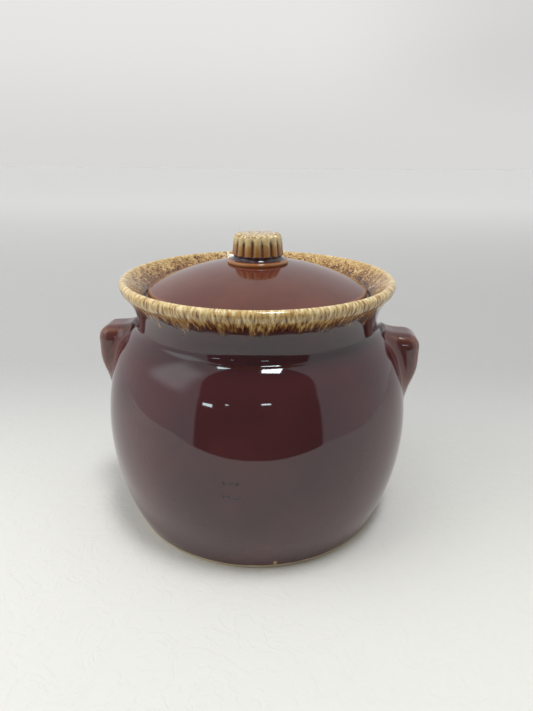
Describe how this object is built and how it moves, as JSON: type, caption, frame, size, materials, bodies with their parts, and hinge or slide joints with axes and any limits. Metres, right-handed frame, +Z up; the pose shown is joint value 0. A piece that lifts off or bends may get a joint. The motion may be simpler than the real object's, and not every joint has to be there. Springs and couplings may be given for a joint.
{
  "type": "bean pot",
  "caption": "Round glazed stoneware bean pot with a flared rim, lug handles and a domed lid that lifts off by a ribbed knob.",
  "frame": {"origin": "centre of the foot ring, on the surface that the pot stands on", "axes": "+Z up along the pot's axis, X through the two handles, -Y towards the side seen in the picture"},
  "size_m": [0.2026, 0.19, 0.1788],
  "materials": {
    "pot_glaze": "glossy brown glaze with a cream and tan mottled rim",
    "handle_glaze": "glossy brown glaze",
    "lid_glaze": "glossy reddish-brown glaze",
    "knob_glaze": "glossy amber glaze with a cream top"
  },
  "bodies": {
    "pot": {"pot_body": "pot_glaze", "left_handle": "handle_glaze", "right_handle": "handle_glaze"},
    "lid": {"lid": "lid_glaze", "lid_knob": "knob_glaze"}
  },
  "joints": [
    {"name": "lid_lift", "type": "slide", "parent": "pot", "child": "lid", "axis": [0, 0, 1], "range_m": [0, 0.12]}
  ]
}
